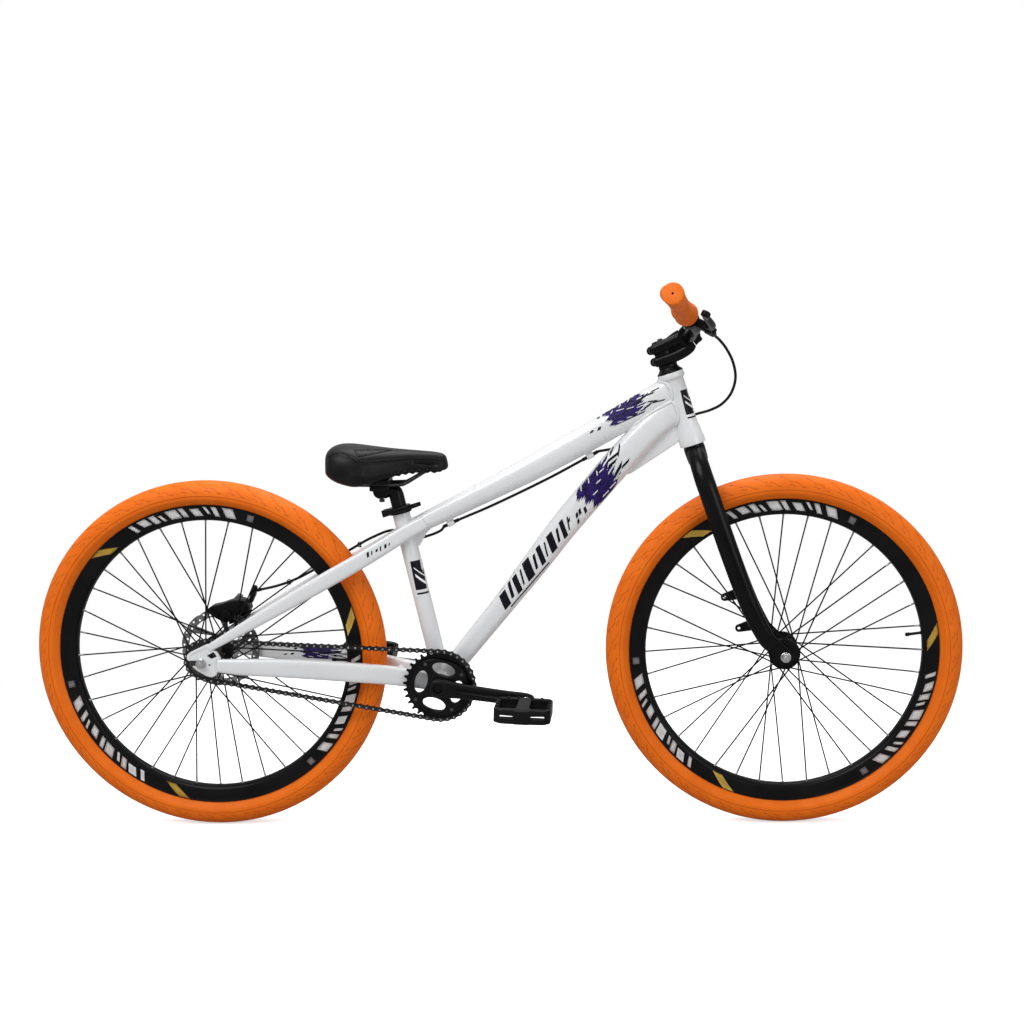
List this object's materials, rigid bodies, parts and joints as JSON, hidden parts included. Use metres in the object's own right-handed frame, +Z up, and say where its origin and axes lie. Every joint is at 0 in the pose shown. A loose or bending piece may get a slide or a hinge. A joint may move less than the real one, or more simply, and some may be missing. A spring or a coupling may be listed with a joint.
{
  "type": "freeride bicycle",
  "caption": "Freeride bicycle with a rigid fork, orange tyres and grips, a white frame with sloping tubes, a short chain drive and a cable disc brake at the rear wheel.",
  "frame": {"origin": "on the ground, midway between the two wheel axles, in the bicycle's middle plane", "axes": "+X forwards, +Z up, -Y towards the drive side with the chain"},
  "size_m": [1.731, 0.6786, 1.0065],
  "materials": {
    "black_alloy": "satin",
    "black_paint": "satin",
    "black_plastic": "matte",
    "bright_steel": "brushed",
    "cable_black": "matte",
    "dark_steel": "satin",
    "orange_rubber": "matte",
    "orange_tyre": "matte",
    "pad_metal": "matte",
    "vinyl": "matte",
    "white_paint": "gloss"
  },
  "bodies": {
    "frame": {"bb_shell": "white_paint", "bottom_bracket": "dark_steel", "brake_cable_front": "cable_black", "brake_cable_middle": "cable_black", "brake_cable_rear": "cable_black", "brake_caliper": "black_alloy", "chain": "dark_steel", "chainstay_bridge": "white_paint", "down_tube": "white_paint", "head_tube": "white_paint", "inner_brake_pad": "pad_metal", "left_chainstay": "white_paint", "left_dropout": "white_paint", "left_seatstay": "white_paint", "lower_headset_bearing": "bright_steel", "rear_axle": "bright_steel", "right_chainstay": "white_paint", "right_dropout": "white_paint", "right_seatstay": "white_paint", "seat_collar": "black_alloy", "seat_gusset": "white_paint", "seat_tube": "white_paint", "seatstay_bridge": "white_paint", "top_tube": "white_paint", "upper_headset_bearing": "bright_steel"},
    "fork": {"fork_steerer": "black_paint", "fork_left_leg": "black_paint", "fork_right_leg": "black_paint", "front_axle": "bright_steel", "headset_cover": "black_alloy", "stem": "black_alloy", "stem_cap": "black_alloy", "stem_faceplate": "black_alloy", "handlebar": "black_alloy", "left_grip": "orange_rubber", "right_grip": "orange_rubber", "brake_lever_perch": "black_alloy"},
    "front_wheel": {"front_tyre": "orange_tyre", "front_rim": "black_alloy", "front_hub_and_spokes": "black_alloy"},
    "rear_wheel": {"rear_tyre": "orange_tyre", "rear_rim": "black_alloy", "rear_hub_and_spokes": "black_alloy", "brake_rotor": "bright_steel"},
    "crankset": {"crank_spindle": "bright_steel", "right_crank_arm": "black_alloy", "left_crank_arm": "black_alloy", "chainring": "black_alloy"},
    "freewheel": {"freewheel": "dark_steel"},
    "right_pedal": {"right_pedal": "black_plastic"},
    "left_pedal": {"left_pedal": "black_plastic"},
    "brake_lever": {"brake_lever": "black_alloy"},
    "caliper_arm": {"caliper_arm": "black_alloy"},
    "outer_pad": {"outer_brake_pad": "pad_metal"},
    "seat": {"seatpost": "black_alloy", "rail_clamp_upper": "black_alloy", "saddle_rail": "bright_steel", "saddle_cover": "vinyl", "saddle_shell": "black_plastic"},
    "seat_lever": {"seat_lever": "black_alloy"}
  },
  "joints": [
    {"name": "steering", "type": "hinge", "parent": "frame", "child": "fork", "pos_m": [0.371, 0, 0.716], "axis": [-0.2974, 0, 0.9548], "range_deg": [-75, 75], "deforming": ["brake_cable_front"]},
    {"name": "front_wheel_spin", "type": "hinge", "parent": "fork", "child": "front_wheel", "pos_m": [0.5355, 0, 0.33], "axis": [0, 1, 0], "continuous": true},
    {"name": "rear_wheel_spin", "type": "hinge", "parent": "frame", "child": "rear_wheel", "pos_m": [-0.5355, 0, 0.33], "axis": [0, 1, 0], "continuous": true},
    {"name": "crank_spin", "type": "hinge", "parent": "frame", "child": "crankset", "pos_m": [-0.10131, 0, 0.2785], "axis": [0, 1, 0], "continuous": true, "deforming": ["chain"]},
    {"name": "freewheel_spin", "type": "hinge", "parent": "frame", "child": "freewheel", "pos_m": [-0.5355, 0, 0.33], "axis": [0, 1, 0], "continuous": true, "deforming": ["chain"]},
    {"name": "right_pedal_spin", "type": "hinge", "parent": "crankset", "child": "right_pedal", "pos_m": [0.06221, -0.142, 0.25639], "axis": [0, 1, 0], "continuous": true},
    {"name": "left_pedal_spin", "type": "hinge", "parent": "crankset", "child": "left_pedal", "pos_m": [-0.26482, 0.142, 0.30061], "axis": [0, 1, 0], "continuous": true},
    {"name": "brake_lever_pull", "type": "hinge", "parent": "fork", "child": "brake_lever", "pos_m": [0.39399, -0.18291, 0.92936], "axis": [-0.4591, -0.1567, -0.8745], "range_deg": [0, 11], "stiffness_Nm_per_rad": 1.5, "springref_deg": -5.73},
    {"name": "caliper_arm_pull", "type": "hinge", "parent": "frame", "child": "caliper_arm", "pos_m": [-0.5175, 0.0708, 0.402], "axis": [0, 1, 0], "range_deg": [0, 20.1]},
    {"name": "outer_pad_slide", "type": "slide", "parent": "frame", "child": "outer_pad", "axis": [0, -1, 0], "range_m": [0, 0.00101]},
    {"name": "seatpost_slide", "type": "slide", "parent": "frame", "child": "seat", "axis": [-0.2096, 0, 0.9778], "range_m": [-0.008, 0.045]},
    {"name": "seat_lever_open", "type": "hinge", "parent": "frame", "child": "seat_lever", "pos_m": [-0.19645, -0.0192, 0.59586], "axis": [0.2096, 0, -0.9778], "range_deg": [0, 120]}
  ],
  "couplings": [
    {"joint": "freewheel_spin", "follows": "crank_spin", "ratio": 1.7778},
    {"joint": "caliper_arm_pull", "follows": "brake_lever_pull", "ratio": 1.8182},
    {"joint": "outer_pad_slide", "follows": "brake_lever_pull", "m_per_rad": 0.005209}
  ]
}
